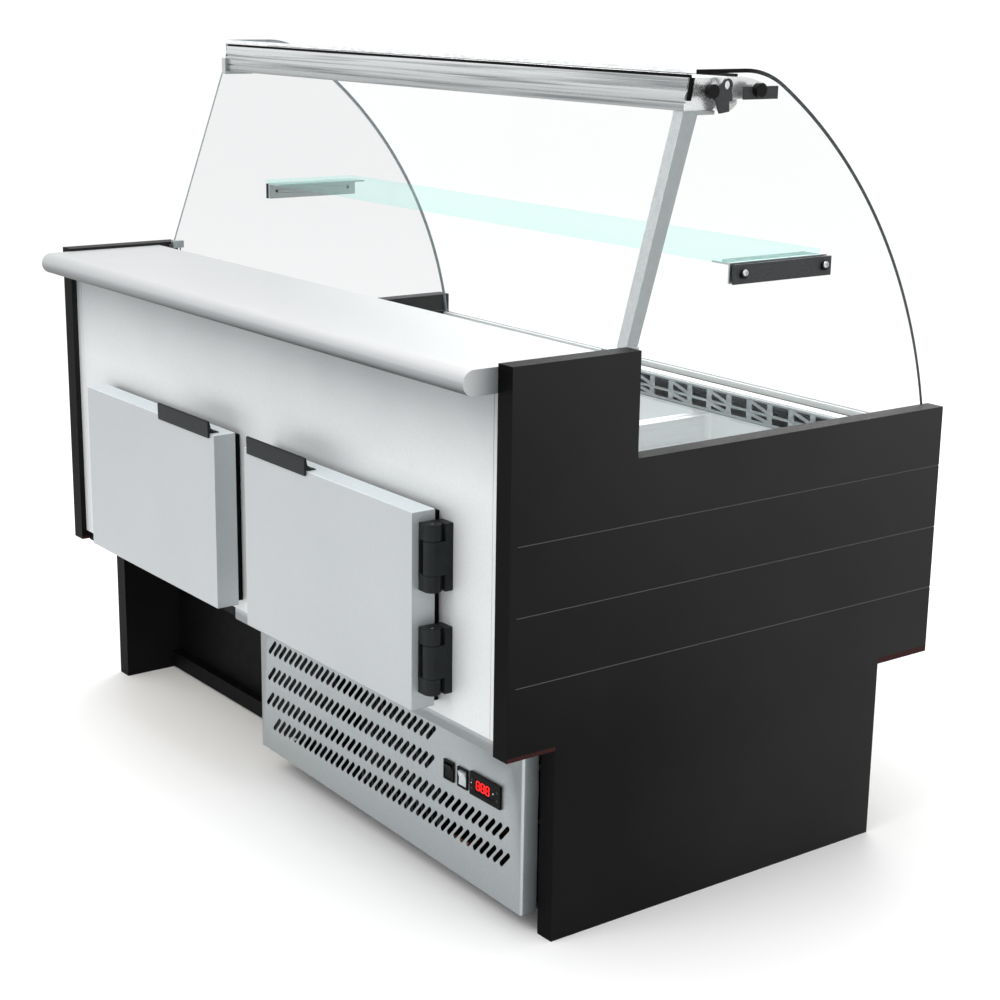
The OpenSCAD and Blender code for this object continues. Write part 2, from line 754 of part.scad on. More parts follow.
// Leaning tube that carries the right end of the canopy, with its foot and head plates
module post() {
    wall = 2;
    difference() {
        along_x(post_x0, post_x0 + post_w) polygon([
            [post_foot[0], worktop_z], [post_foot[1], worktop_z], [post_head[1], post_top],
            [post_head[0], post_top]]);
        along_x(post_x0 + wall, post_x0 + post_w - wall) polygon([
            [post_foot[0] + 3, worktop_z - 1], [post_foot[1] - 3, worktop_z - 1],
            [post_head[1] - 3, post_top + 1], [post_head[0] + 3, post_top + 1]]);
    }
    block([post_x0, post_x0 + post_w], [post_head[0], 398], [post_top, 1235]);
    block([post_x0 - 3, post_x0 + post_w], [214, 266], [worktop_z - 6, worktop_z]);
    block([post_x0 + post_w - 1, inside], [214, 234], [worktop_z - 6, worktop_z]);
    block([inside - 5, inside], [214, 234], [800, worktop_z - 6]);
}

// The left end of the canopy hangs on the side glass, with a clip above and one below
module posts() {
    color("#b9bfc3") place() {
        post();
        block([-684, -670], [335, 341], [1229, 1260]);
        block([-684, -670], [335, 398], [1229, 1235]);
        block([-690, -680], [214, 238], [worktop_z - 6, worktop_z + 8]);
        block([-inside, -689], [214, 234], [worktop_z - 6, worktop_z]);
    }
}

module shelf_glass() {
    color("#c8f4ee", 0.5) place() block([-685, 685], [430, 640], [shelf_z - 8, shelf_z]);
}
module shelf_brackets() {
    under = shelf_z - 8;
    color("#b9bfc3") place() both_ends() difference() {
        union() {
            block([650, side_x0], [441, 650], [under - 3, under]);
            block([side_x0 - 3, side_x0], [441, 650], [under - 32, under - 3]);
        }
        for (p = shelf_bolt_points) rod_x(side_x0 - 4, side_x0 + 1, p[0], p[1], 3.2);
    }
}

// Black plates, knobs and screws on the outside of both side glasses
module glass_fixings() {
    outer = side_x0 + glass_t;
    color("#1b1b1b") place() both_ends() {
        along_x(outer, outer + 4) {
            difference() {
                union() {
                    polygon([[372, 1255], [386, 1254], [391, 1248], [398.5, 1231], [417, 1233.5],
                             [416, 1248], [423, 1248.5], [420, 1264], [419, 1276], [404, 1276],
                             [393, 1271], [372, 1273]]);
                    translate([412.5, 1272]) circle(9.5);
                }
                translate([412.5, 1272]) circle(6.5);
            }
            translate([446, 1250]) square([69, 19]);
        }
        block([outer, outer + 4], [441, 650], [shelf_z - 40, shelf_z - 10]);
        for (p = clamp_points) {
            rod_x(outer + 4, outer + 14, p[0], p[1], 10.5);
            rod_x(side_x0 - 6, outer, p[0], p[1], 3.2);
        }
        for (p = shelf_bolt_points) {
            rod_x(outer + 4, outer + 9, p[0], p[1], 6.5);
            rod_x(side_x0 - 3, outer, p[0], p[1], 3);
        }
    }
}
module glass_seals() {
    color("#0e0e0e") place() {
        for (y = [349, 440]) block([-684, 684], [y, y + 6], [canopy_top, canopy_top + 4]);
        both_ends() along_x(684.3, 689.6)
            polygon([[345, 1250], [351, 1283], [356, 1283], [350, 1250]]);
        block([-inside + 2, inside - 2], [872, 877], [684, 693]);
        both_ends() difference() {
            block([side_x0 - 3, inside], [236, tank_front_y0 - 3], [676, 712]);
            block([side_x0, side_x0 + glass_t], [230, 850], [704, 720]);
        }
    }
}

// Hinge along the foot of the front glass: a fixed rail with pins, a tilting leaf
module glass_hinge_base() {
    color("#9aa1a5") place() {
        block([-inside, inside], [866, 898], [640, 656]);
        for (x = [-450, 0, 450]) {
            rod_x(x - 42, x + 42, tilt_y, tilt_z, tilt_pin_r);
            for (e = [x - 42, x + 22]) {
                rod_x(e, e + 20, tilt_y, tilt_z, 7.5);
                block([e, e + 20], [tilt_y - 6, tilt_y + 6], [655, tilt_z]);
            }
        }
    }
}
module glass_hinge_leaf() {
    color("#b9bfc3") place() difference() {
        union() {
            along_x(-inside + 2, inside - 2) polygon([
                [tilt_y, 676], [panel_depth - 0.4, 676], [panel_depth - 0.4, 700], [tilt_y, 700]]);
            for (x = [-450, 0, 450]) {
                rod_x(x - 21, x + 21, tilt_y, tilt_z, 8);
                block([x - 21, x + 21], [tilt_y - 7, tilt_y + 7], [tilt_z, 677]);
            }
        }
        block([-800, 800], [893.2, 902.4], [glass_foot_z, 710]);
        for (x = [-450, 0, 450]) rod_x(x - 30, x + 30, tilt_y, tilt_z, tilt_pin_r + fit);
    }
}
module cable_gland() {
    color("#1b1b1b") place() difference() {
        union() {
            rod_y(500, 767, plinth_front, 80, 10);
            translate([500, plinth_front + 8, 80]) rotate([90, 0, 0]) cylinder(r = 14, h = 8, $fn = 6);
            rod_y(500, plinth_front + 8, plinth_front + 18, 80, 10.5);
        }
        rod_y(500, 760, 810, 80, 5.5);
    }
}

end_panel_right();
end_panel_left();
front_fascia();
front_kick();
recess_lining();
base_frame();
base_tray();
service_wall();
tank_insulation();
tank_liner();
rear_duct();
worktop();
deck_frame();
deck_pan_1();
deck_pan_2();
deck_pan_3();
deck_pan_4();
air_grille();
door_right();
door_left();
door_gasket_right();
door_gasket_left();
door_handle_right();
door_handle_left();
hinge_leaves_right();
hinge_leaves_left();
hinge_brackets();
hinge_pins();
machine_cover();
controller();
controller_key_1();
controller_key_2();
controller_key_3();
controller_key_4();
switch_frames();
switch_rocker_1();
switch_rocker_2();
compressor();
condenser();
condenser_shroud();
condenser_fan_motor();
condenser_fan();
pipework();
evaporator();
evaporator_fan_plate();
evaporator_fan();
drip_tray();
storage_rack();
canopy_profile();
canopy_lamp();
posts();
side_glass();
front_glass();
glass_hinge_leaf();
glass_hinge_base();
shelf_glass();
shelf_brackets();
glass_fixings();
glass_seals();
cable_gland();
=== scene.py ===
"""Looks of the refrigerated deli case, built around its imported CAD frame.

Lengths are metres in the row frame: X along the counter, -Y the service side, Z up.
"""

import math

import bmesh
import bpy
from mathutils import Matrix, Vector


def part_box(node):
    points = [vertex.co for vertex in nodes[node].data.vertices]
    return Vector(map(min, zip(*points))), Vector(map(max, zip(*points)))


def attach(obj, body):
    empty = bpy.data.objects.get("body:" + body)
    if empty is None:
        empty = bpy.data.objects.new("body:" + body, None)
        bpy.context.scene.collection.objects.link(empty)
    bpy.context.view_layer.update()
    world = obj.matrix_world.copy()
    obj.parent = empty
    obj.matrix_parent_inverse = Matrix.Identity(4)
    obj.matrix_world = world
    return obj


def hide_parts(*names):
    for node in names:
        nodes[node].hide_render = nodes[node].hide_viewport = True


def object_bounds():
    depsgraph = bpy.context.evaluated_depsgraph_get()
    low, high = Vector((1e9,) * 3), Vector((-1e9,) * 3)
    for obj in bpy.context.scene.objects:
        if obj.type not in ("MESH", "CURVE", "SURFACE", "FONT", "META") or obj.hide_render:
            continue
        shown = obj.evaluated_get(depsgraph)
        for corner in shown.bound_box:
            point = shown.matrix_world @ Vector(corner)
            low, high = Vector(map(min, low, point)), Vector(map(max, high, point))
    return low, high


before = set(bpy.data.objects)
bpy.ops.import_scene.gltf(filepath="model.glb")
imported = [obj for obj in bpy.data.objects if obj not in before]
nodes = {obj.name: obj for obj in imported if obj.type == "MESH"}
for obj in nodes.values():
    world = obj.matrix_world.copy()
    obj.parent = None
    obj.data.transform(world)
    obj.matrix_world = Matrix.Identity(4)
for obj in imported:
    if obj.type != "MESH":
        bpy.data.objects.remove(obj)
cad_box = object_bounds()
MM = 0.001


def corners(node):
    """Lowest and highest corner of a CAD node as vectors."""
    low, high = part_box(node)
    return Vector(low), Vector(high)


# ---------------------------------------------------------------- camera, floor and light
CAMERA_PLACE = (2.834, -2.021, 1.411)
CAMERA_YAW = 53.07
CAMERA_PITCH = 14.86
CAMERA_ROLL = 0.835
CAMERA_LENS = 70.06
SENSOR_WIDTH = 36
FLOOR_REACH = 90
FLOOR_TONE = (0.93, 0.93, 0.93, 1)
WORLD_STRENGTH = 1.1
# Name, place, target, diameter and watts of each soft lamp
LIGHTS = (
    ("key", (0.4, -3.2, 3.6), (0, 0, 0.7), 2.2, 60),
    ("top", (-0.2, -0.2, 4.0), (0, 0, 0.9), 2.0, 40),
    ("rim", (-2.2, 2.6, 3.0), (0, 0.2, 0.9), 2.4, 40),
)


def add_camera():
    """The camera of the photo, placed in the row frame."""
    yaw, pitch, roll = (math.radians(a) for a in (CAMERA_YAW, CAMERA_PITCH, CAMERA_ROLL))
    forward = Vector((-math.sin(yaw) * math.cos(pitch), math.cos(yaw) * math.cos(pitch), -math.sin(pitch)))
    level = Vector((math.cos(yaw), math.sin(yaw), 0))
    upright = level.cross(forward)
    right = math.cos(roll) * level + math.sin(roll) * upright
    up = math.cos(roll) * upright - math.sin(roll) * level
    data = bpy.data.cameras.new("camera")
    data.sensor_width = SENSOR_WIDTH
    data.lens = CAMERA_LENS
    camera = bpy.data.objects.new("camera", data)
    turn = Matrix((right, up, -forward)).transposed().to_4x4()
    camera.matrix_world = Matrix.Translation(CAMERA_PLACE) @ turn
    bpy.context.scene.collection.objects.link(camera)
    bpy.context.scene.camera = camera


def area_light(name, place, target, size, power):
    data = bpy.data.lights.new(name, "AREA")
    data.shape = "DISK"
    data.size = size
    data.energy = power
    light = bpy.data.objects.new(name, data)
    light.location = place
    light.rotation_euler = (Vector(target) - Vector(place)).to_track_quat("-Z", "Y").to_euler()
    bpy.context.scene.collection.objects.link(light)


def add_studio():
    """White world, pale floor and three soft lamps."""
    world = bpy.data.worlds.new("studio")
    world.use_nodes = True
    back = world.node_tree.nodes["Background"]
    back.inputs["Color"].default_value = (1, 1, 1, 1)
    back.inputs["Strength"].default_value = WORLD_STRENGTH
    bpy.context.scene.world = world

    mesh = bpy.data.meshes.new("floor")
    floor_corners = [(FLOOR_REACH * x, FLOOR_REACH * y, 0) for x, y in ((-1, -1), (1, -1), (1, 1), (-1, 1))]
    mesh.from_pydata(floor_corners, [], [(0, 1, 2, 3)])
    floor = bpy.data.objects.new("floor", mesh)
    bpy.context.scene.collection.objects.link(floor)
    pale = bpy.data.materials.new("floor_paint")
    pale.use_nodes = True
    paint = pale.node_tree.nodes["Principled BSDF"]
    paint.inputs["Base Color"].default_value = FLOOR_TONE
    paint.inputs["Roughness"].default_value = 0.6
    paint.inputs["Specular IOR Level"].default_value = 0.2
    mesh.materials.append(pale)

    for light in LIGHTS:
        area_light(*light)
    bpy.context.scene.view_settings.view_transform = "Standard"


# ---------------------------------------------------------------- material helpers
class Paint:
    """A material built from one Principled shader and a few procedural maps."""

    def __init__(self, name, **sockets):
        self.material = bpy.data.materials.new(name)
        self.material.use_nodes = True
        self.tree = self.material.node_tree
        self.shader = self.tree.nodes["Principled BSDF"]
        for key, value in sockets.items():
            self.shader.inputs[key.replace("_", " ")].default_value = value

    def add(self, kind, inputs=(), **settings):
        node = self.tree.nodes.new(kind)
        for key, value in settings.items():
            setattr(node, key, value)
        for key, value in dict(inputs).items():
            self.feed(node.inputs[key], value)
        return node

    def feed(self, socket, value):
        if isinstance(value, bpy.types.NodeSocket):
            self.tree.links.new(value, socket)
        else:
            socket.default_value = value

    def place(self):
        return self.add("ShaderNodeTexCoord").outputs["Object"]

    def noise(self, size, stretch=(1, 1, 1), detail=4.0, seed=0.0):
        """Noise from 0 to 1 with features of about size metres, drawn out along stretch."""
        scale = [1 / (size * s) for s in stretch]
        spread = self.add("ShaderNodeMapping", {"Vector": self.place(), "Scale": scale,
                                                "Location": (seed, seed, seed)})
        return self.add("ShaderNodeTexNoise",
                        {"Vector": spread.outputs[0], "Scale": 1.0, "Detail": detail}).outputs["Fac"]

    def remap(self, value, low, high, start=0.3, end=0.7):
        """Spreads value's middle range over low to high."""
        return self.add("ShaderNodeMapRange", {"Value": value, "From Min": start, "From Max": end,
                                               "To Min": low, "To Max": high}).outputs[0]

    def math(self, operation, a, b=0.0):
        return self.add("ShaderNodeMath", {0: a, 1: b}, operation=operation).outputs[0]

    def mix(self, factor, a, b, blend="MIX"):
        node = self.add("ShaderNodeMix", data_type="RGBA", blend_type=blend)
        self.feed(node.inputs[0], factor)
        self.feed(node.inputs[6], a)
        self.feed(node.inputs[7], b)
        return node.outputs[2]

    def colour(self, value):
        self.feed(self.shader.inputs["Base Color"], value)

    def roughness(self, value):
        self.feed(self.shader.inputs["Roughness"], value)

    def bump(self, height, strength, depth=0.0005):
        node = self.add("ShaderNodeBump", {"Height": height, "Strength": strength, "Distance": depth})
        self.feed(self.shader.inputs["Normal"], node.outputs[0])

    def facing(self):
        """The surface normal's three parts."""
        normal = self.add("ShaderNodeNewGeometry").outputs["Normal"]
        return self.add("ShaderNodeSeparateXYZ", {0: normal}).outputs

    def at(self):
        """The surface point's three coordinates."""
        return self.add("ShaderNodeSeparateXYZ", {0: self.place()}).outputs


def shade_of(colour, factor):
    return tuple(min(1.0, c * factor) for c in colour) + (1.0,)


def brushed(name, colour, rough=0.34, grain=(60, 1, 1), contrast=0.06, speckle=0.05, metallic=0.85,
            painted_facing_light=()):
    """Brushed stainless: fine lines drawn out along the grain, a faint speckle and slow unevenness.

    painted_facing_light lists (axis, sign, factor): faces facing that way get painted light or shade, their
    colour multiplied by factor.
    """
    p = Paint(name, Metallic=metallic, Specular_IOR_Level=0.5)
    lines = p.noise(0.0016, grain, detail=3)
    dots = p.noise(0.0022, detail=2, seed=3)
    clouds = p.noise(0.22, detail=2, seed=7)
    tone = p.mix(p.remap(lines, 0, 1), shade_of(colour, 1 - contrast), shade_of(colour, 1 + contrast))
    tone = p.mix(p.remap(dots, 0, speckle, 0.35, 0.65), tone, (0.20, 0.22, 0.23, 1))
    # Painted light and shade: faces pointing along an axis are made lighter or darker.
    for axis, sign, factor in painted_facing_light:
        share = p.remap(p.math("MULTIPLY", p.facing()[axis], sign), 0, 1, 0.25, 0.85)
        tone = p.mix(share, tone, p.mix(1.0, tone, (factor, factor * 1.02, factor * 1.02, 1), "MULTIPLY"))
    p.colour(tone)
    p.roughness(p.math("ADD", p.remap(lines, rough - 0.05, rough + 0.05), p.remap(clouds, -0.03, 0.05)))
    p.bump(lines, 0.10, 0.0003)
    return p.material


def moulded(name, colour, rough=0.5, grain=0.0012, strength=0.25, specular=0.4):
    """Moulded plastic: spark-eroded grain, slight unevenness in gloss and tone."""
    p = Paint(name, Specular_IOR_Level=specular)
    pits = p.noise(grain, detail=2)
    clouds = p.noise(0.03, detail=3, seed=5)
    p.colour(p.mix(p.remap(clouds, 0, 1), shade_of(colour, 0.85), shade_of(colour, 1.2)))
    p.roughness(p.remap(clouds, rough - 0.06, rough + 0.07))
    p.bump(pits, strength, 0.0002)
    return p.material


# ---------------------------------------------------------------- materials
GROOVE_BAND = (0.0008, 0.0014)
STEP_Z = 0.310
RAW_EDGE = 0.0085
RAW_OVERHANG = 0.004
STEP_REACH = {"customer": 0.119, "service": 0.090}
RAW_FRONT, RAW_FRONT_TOP = 0.0022, 0.42
RAW_BROWN = ((0.050, 0.014, 0.012, 1), (0.018, 0.010, 0.010, 1))
# Painted light on the laminate's top faces, from the -Y end to the +Y end.
LAMINATE_TOP_LIGHT = ((0.010, 0.008, 0.008, 1), (0.075, 0.073, 0.073, 1))


def laminate():
    """Black laminate: satin, faintly pebbled, with lighter grooves and brown raw edges at the steps; painted
    light grades the sides lighter towards +Y and upwards and lightens the tops, painted shade darkens faces
    facing -Y.
    """
    low, high = corners("end_panel_right")
    half_length = cad_box[1][0]
    p = Paint("laminate", Specular_IOR_Level=0.035)
    pebble = p.noise(0.0015, detail=2)
    clouds = p.noise(0.35, detail=3, seed=2)
    wear = p.noise(0.004, detail=3, seed=9)
    x, y, z = p.at()[:3]
    facing = p.facing()
    outward = p.math("GREATER_THAN", p.math("ABSOLUTE", facing[0]), 0.7)

    # Painted light and shade: the sides grade lighter towards +Y and upwards.
    painted_light_slope = p.math("ADD", p.remap(y, 0, 0.6, low.y, high.y), p.remap(z, 0, 0.4, 0.3, 0.9))
    painted_light_slope = p.math("ADD", painted_light_slope, p.remap(clouds, -0.08, 0.08))
    tone = p.mix(painted_light_slope, (0.0052, 0.0052, 0.0055, 1), (0.036, 0.036, 0.037, 1))
    # Painted shade: faces facing -Y are darker.
    tone = p.mix(p.math("LESS_THAN", facing[1], -0.7), tone, (0.0022, 0.0022, 0.0025, 1))
    # Painted light: top faces are lighter, more so towards +Y.
    painted_top_light = p.mix(p.remap(y, 0, 1, low.y, high.y), *LAMINATE_TOP_LIGHT)
    tone = p.mix(p.math("GREATER_THAN", facing[2], 0.7), tone, painted_top_light)

    off_side = p.math("SUBTRACT", half_length, p.math("ABSOLUTE", x))
    groove = p.math("MULTIPLY", p.math("GREATER_THAN", off_side, GROOVE_BAND[0]),
                    p.math("LESS_THAN", off_side, GROOVE_BAND[1]))
    tone = p.mix(p.math("MULTIPLY", groove, outward), tone, (0.11, 0.11, 0.115, 1))

    step = low.z + STEP_Z
    near_step = p.math("LESS_THAN", p.math("SUBTRACT", z, step), RAW_EDGE)
    over_step = p.math("GREATER_THAN", z, step - RAW_OVERHANG)
    beside = p.math("MAXIMUM", p.math("GREATER_THAN", y, high.y - STEP_REACH["customer"]),
                    p.math("LESS_THAN", y, low.y + STEP_REACH["service"]))
    edge = p.math("MULTIPLY", p.math("MULTIPLY", near_step, over_step), beside)
    edge = p.math("MULTIPLY", edge, outward)
    tail = p.math("MULTIPLY", p.math("GREATER_THAN", y, high.y - RAW_FRONT),
                  p.math("LESS_THAN", z, step + RAW_FRONT_TOP))
    below = p.math("LESS_THAN", facing[2], -0.7)
    raw = p.mix(p.remap(wear, 0, 1), *RAW_BROWN)
    p.colour(p.mix(p.math("MAXIMUM", p.math("MAXIMUM", edge, tail), below), tone, raw))
    p.roughness(p.remap(clouds, 0.40, 0.50))
    p.bump(pebble, 0.10, 0.0002)
    return p.material


def worktop_steel():
    """Fine satin stainless with painted light and shade: tops painted pale, painted shade round the
    underside of the nose and on the end caps.
    """
    low, high = corners("worktop")
    p = Paint("top_steel", Metallic=0.35, Specular_IOR_Level=0.4)
    lines = p.noise(0.0016, GRAIN_X, detail=3)
    dots = p.noise(0.0022, detail=2, seed=3)
    clouds = p.noise(0.22, detail=2, seed=7)
    x, y = p.at()[:2]
    facing = p.facing()
    # Painted light: top faces grade lighter towards +X.
    top = p.mix(p.remap(x, 0, 1, low.x, high.x), (0.44, 0.45, 0.455, 1), (0.57, 0.575, 0.58, 1))
    # Painted shade: faces facing down grade to near black.
    under = p.mix(p.remap(facing[2], 0, 1, -0.75, 0.2),
                  (0.008, 0.012, 0.014, 1), (0.34, 0.355, 0.365, 1))
    tone = p.mix(p.remap(facing[2], 0, 1, 0.0, 0.95), under, top)
    # Painted shade: the end caps grade darker from the -Y edge inwards.
    end = p.mix(p.remap(y, 0, 1, low.y, low.y + 0.075), (0.46, 0.47, 0.48, 1), (0.13, 0.145, 0.155, 1))
    tone = p.mix(p.math("GREATER_THAN", p.math("ABSOLUTE", facing[0]), 0.7), tone, end)
    tone = p.mix(p.remap(lines, 0, 0.05), tone, (0.9, 0.9, 0.9, 1))
    tone = p.mix(p.remap(dots, 0, 0.03, 0.35, 0.65), tone, (0.20, 0.22, 0.23, 1))
    p.colour(tone)
    p.roughness(p.math("ADD", p.remap(lines, 0.40, 0.48), p.remap(clouds, -0.03, 0.05)))
    p.bump(lines, 0.08, 0.0003)
    return p.material


def canopy_aluminium():
    """Ribbed extrusion: faces facing -Y are streaked along their length and darkened towards the lower edge
    by painted shade; all other faces get a pale tone, painted light.
    """
    low, high = corners("canopy_profile")
    p = Paint("canopy_aluminium", Metallic=0.8)
    lines = p.noise(0.0016, GRAIN_X, detail=3)
    streaks = p.noise(0.006, (90, 1, 1), detail=4, seed=4)
    clouds = p.noise(0.22, detail=2, seed=7)
    rise = p.remap(p.at()[2], 0, 1, low.z, high.z)
    # Painted shade: darker towards the lower edge.
    shade = p.mix(rise, (0.36, 0.375, 0.38, 1), (0.66, 0.675, 0.68, 1))
    shade = p.mix(p.remap(streaks, 0, 0.75, 0.50, 0.68), shade, (0.10, 0.11, 0.115, 1))
    # Painted light and shade by facing: faces facing -Y take the shaded streaks, all others the pale tone.
    tone = p.mix(p.math("LESS_THAN", p.facing()[1], -0.5), (0.80, 0.81, 0.815, 1), shade)
    tone = p.mix(p.remap(lines, 0, 0.10), tone, (0.25, 0.27, 0.28, 1))
    p.colour(tone)
    p.roughness(p.math("ADD", p.remap(lines, 0.20, 0.30), p.remap(clouds, -0.03, 0.05)))
    p.bump(lines, 0.10, 0.0003)
    return p.material


def wall_steel():
    """Satin sheet, with a painted shadow making it greyer under the worktop's nose."""
    top = corners("service_wall")[1].z
    p = Paint("wall_steel", Metallic=0.35, Specular_IOR_Level=0.4)
    grain = p.noise(0.0022, (2, 1, 2), detail=3)
    clouds = p.noise(0.22, detail=2, seed=7)
    # Painted shadow of the worktop's nose: darker towards the top of the wall.
    painted_nose_shadow = p.math("ADD", p.remap(p.at()[2], 0, 1, top - 0.16, top - 0.012), p.remap(clouds, -0.05, 0.05))
    tone = p.mix(painted_nose_shadow, (0.63, 0.645, 0.65, 1), (0.34, 0.36, 0.37, 1))
    tone = p.mix(p.remap(grain, 0, 0.08), tone, (0.28, 0.30, 0.31, 1))
    p.colour(tone)
    p.roughness(p.math("ADD", p.remap(grain, 0.44, 0.52), p.remap(clouds, -0.03, 0.05)))
    p.bump(grain, 0.06, 0.0003)
    return p.material


def clear_pane(name, tint, share):
    """Flat glass: what is behind shows through a faint tint, and the surface mirrors at a slant."""
    p = Paint(name, Base_Color=(0.9, 0.93, 0.93, 1), Specular_IOR_Level=0.5)
    smear = p.noise(0.12, detail=4)
    p.roughness(p.remap(smear, 0.02, 0.06))
    clear = p.add("ShaderNodeBsdfTransparent", {"Color": tint + (1,)})
    slant = p.add("ShaderNodeLayerWeight", {"Blend": 0.12}).outputs["Facing"]
    share_map = p.math("ADD", p.remap(smear, share * 0.8, share * 1.2), p.math("MULTIPLY", slant, 0.06))
    both = p.add("ShaderNodeMixShader", {0: share_map})
    p.tree.links.new(clear.outputs[0], both.inputs[1])
    p.tree.links.new(p.shader.outputs[0], both.inputs[2])
    p.tree.links.new(both.outputs[0], p.tree.nodes["Material Output"].inputs["Surface"])
    return p.material


def polished_rim(name, tint, specular=0.3):
    """Ground and polished glass edge, nearly opaque."""
    p = Paint(name, Specular_IOR_Level=specular)
    streaks = p.noise(0.002, (8, 8, 1), detail=2)
    p.colour(p.mix(p.remap(streaks, 0, 1), shade_of(tint, 0.8), shade_of(tint, 1.25)))
    p.roughness(p.remap(streaks, 0.12, 0.25))
    p.bump(streaks, 0.05, 0.0002)
    return p.material


def sealed_rim(name):
    """End of the front glass: black where the canopy seal laps it, dark grey down the curve."""
    p = Paint(name, Specular_IOR_Level=0.08)
    streaks = p.noise(0.002, (8, 8, 1), detail=2)
    y = p.at()[1]
    curve = p.mix(p.remap(streaks, 0, 1), (0.035, 0.042, 0.045, 1), (0.075, 0.085, 0.09, 1))
    p.colour(p.mix(p.remap(y, 0, 1, 0.03, 0.10), (0.002, 0.002, 0.002, 1), curve))
    p.roughness(p.remap(streaks, 0.2, 0.35))
    p.bump(streaks, 0.05, 0.0002)
    return p.material


KNOB_BAND = 0.0095


def clamp_black():
    """Clamps on the glass: charcoal plates under blacker knobs."""
    high = corners("glass_fixings")[1]
    p = Paint("clamp_black", Specular_IOR_Level=0.10)
    clouds = p.noise(0.004, detail=3, seed=5)
    plate = p.mix(p.remap(clouds, 0, 1), (0.034, 0.036, 0.038, 1), (0.052, 0.054, 0.057, 1))
    outward = p.math("ABSOLUTE", p.at()[0])
    p.colour(p.mix(p.math("GREATER_THAN", outward, high.x - KNOB_BAND), plate, (0.005, 0.005, 0.0055, 1)))
    p.roughness(p.remap(clouds, 0.35, 0.5))
    p.bump(p.noise(0.0012, detail=2), 0.2, 0.0002)
    return p.material


def galvanised():
    p = Paint("galvanised", Metallic=0.9)
    cells = p.add("ShaderNodeTexVoronoi", {"Vector": p.place(), "Scale": 120.0})
    spangle = p.add("ShaderNodeSeparateColor", {0: cells.outputs["Color"]}).outputs[0]
    p.colour(p.mix(spangle, (0.42, 0.44, 0.45, 1), (0.60, 0.62, 0.63, 1)))
    p.roughness(p.remap(spangle, 0.35, 0.5, 0, 1))
    p.bump(p.noise(0.002), 0.08)
    return p.material


def foam():
    p = Paint("foam", Specular_IOR_Level=0.15)
    cells = p.add("ShaderNodeTexVoronoi", {"Vector": p.place(), "Scale": 500.0}).outputs["Distance"]
    p.colour(p.mix(p.remap(p.noise(0.05), 0, 1), (0.72, 0.62, 0.38, 1), (0.82, 0.74, 0.52, 1)))
    p.roughness(p.remap(cells, 0.8, 0.95, 0, 1))
    p.bump(cells, 0.3)
    return p.material


def copper():
    p = Paint("copper", Metallic=1.0)
    tarnish = p.noise(0.03, detail=4)
    p.colour(p.mix(p.remap(tarnish, 0, 1), (0.62, 0.30, 0.17, 1), (0.40, 0.20, 0.13, 1)))
    p.roughness(p.remap(tarnish, 0.24, 0.42))
    p.bump(p.noise(0.002, (12, 12, 1)), 0.05)
    return p.material


FIN_RATE = 2000.0


def fins(name, colour):
    """Packed fins: fine gaps along the coil's length, with painted shade darkening the gaps between fins."""
    p = Paint(name, Metallic=0.8)
    split = p.add("ShaderNodeSeparateXYZ", {0: p.place()})
    turns = p.math("MULTIPLY", split.outputs[0], FIN_RATE)
    wave = p.math("ADD", p.math("MULTIPLY", p.math("SINE", turns), 0.5), 0.5)
    # Painted shade between the fins: the colour drops to 0.35 of the fin tone in each gap.
    p.colour(p.mix(wave, shade_of(colour, 0.35), shade_of(colour, 1.0)))
    p.roughness(p.remap(p.noise(0.01), 0.35, 0.5))
    p.bump(wave, 0.4, 0.0006)
    return p.material


def glow(name, colour, strength):
    p = Paint(name, Emission_Color=colour + (1,), Emission_Strength=strength, Specular_IOR_Level=0.3)
    p.colour(p.mix(p.remap(p.noise(0.003), 0, 1), shade_of(colour, 0.85), shade_of(colour, 1.0)))
    p.roughness(p.remap(p.noise(0.002), 0.3, 0.45))
    return p.material


GRAIN_X, GRAIN_Y = (60, 1, 1), (1, 60, 1)
LAMINATE = laminate()
# The recess lining is painted near black, painted shade for the recess below the service wall.
RECESS_SHADE_SHEET = moulded("black_sheet", (0.0035, 0.0035, 0.004), 0.5, 0.002, 0.15, 0.05)
WALL_STEEL = wall_steel()
# Door steel: top faces painted 2.1 times lighter and +X faces 1.1 times lighter, painted light.
DOOR_STEEL = brushed("door_steel", (0.43, 0.45, 0.46), 0.42, (4, 1, 4), 0.03, 0.10, 0.6,
                     ((2, 1, 2.1), (0, 1, 1.1)))
TOP_STEEL = worktop_steel()
INNER_STEEL = brushed("inner_steel", (0.66, 0.68, 0.69), 0.34, GRAIN_X, 0.05)
PAN_STEEL = brushed("pan_steel", (0.77, 0.785, 0.79), 0.34, GRAIN_Y, 0.05, 0.03, 0.5)
GRILLE_STEEL = brushed("grille_steel", (0.42, 0.445, 0.455), 0.30, GRAIN_X, 0.08, 0.15, 0.8)
# Cover steel: +X faces painted 1.35 times lighter, painted light.
COVER_STEEL = brushed("cover_steel", (0.36, 0.385, 0.395), 0.38, (6, 1, 2), 0.05, 0.16, 0.8,
                      ((0, 1, 1.35),))
CANOPY = canopy_aluminium()
# Post aluminium: +X faces painted darker (factor 0.66), painted shade.
POST = brushed("post_aluminium", (0.53, 0.56, 0.565), 0.34, (4, 4, 6), 0.06, 0.25, 0.9,
               ((0, 1, 0.66),))
ZINC = brushed("zinc_screws", (0.62, 0.63, 0.64), 0.28, GRAIN_Y, 0.04, 0.02, 1.0)
GALVANISED = galvanised()
RUBBER = moulded("rubber", (0.003, 0.003, 0.003), 0.75, 0.0008, 0.3, 0.06)
DARK_PLASTIC = moulded("dark_plastic", (0.012, 0.014, 0.015), 0.40, 0.0012, 0.35, 0.10)
BLACK_PLASTIC = moulded("black_plastic", (0.003, 0.003, 0.0033), 0.3, 0.001, 0.1, 0.05)
